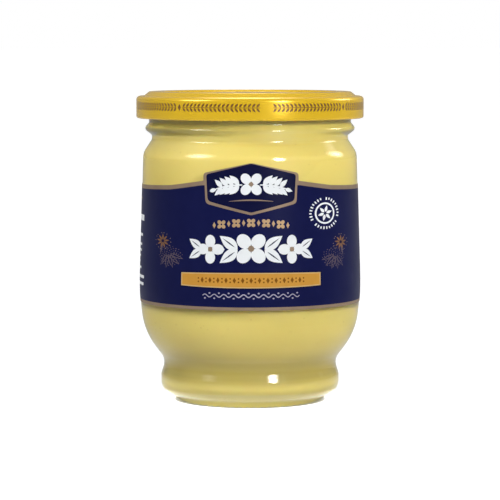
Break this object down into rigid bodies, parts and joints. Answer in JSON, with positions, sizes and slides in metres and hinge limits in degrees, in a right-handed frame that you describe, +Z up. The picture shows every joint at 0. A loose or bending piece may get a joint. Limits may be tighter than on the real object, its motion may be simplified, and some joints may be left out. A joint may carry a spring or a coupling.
{
  "type": "mustard jar",
  "caption": "Goblet-shaped glass jar of mustard on a rounded foot, with a pressed yellow twist-off lid and a navy wrap-round paper label.",
  "frame": {"origin": "centre of the ring that the jar stands on, at the height of the surface under it", "axes": "+Z up along the jar's axis of revolution, the label's plaque faces -Y, +X to the right of someone who faces the label"},
  "size_m": [0.0684, 0.0684, 0.0932],
  "materials": {
    "jar_glass": "clear soda-lime glass, smooth, with faint mould ripple",
    "mustard": "smooth creamy mustard, moist, with fine ground seed",
    "lid_lacquer": "glossy golden yellow lacquer on tinplate, with a dark brown ornament band",
    "label_paper": "semi-gloss coated paper printed in navy, copper, orange gold and white"
  },
  "bodies": {
    "root": {"jar": "jar_glass", "mustard": "mustard", "lid": "lid_lacquer", "label": "label_paper"}
  },
  "joints": []
}
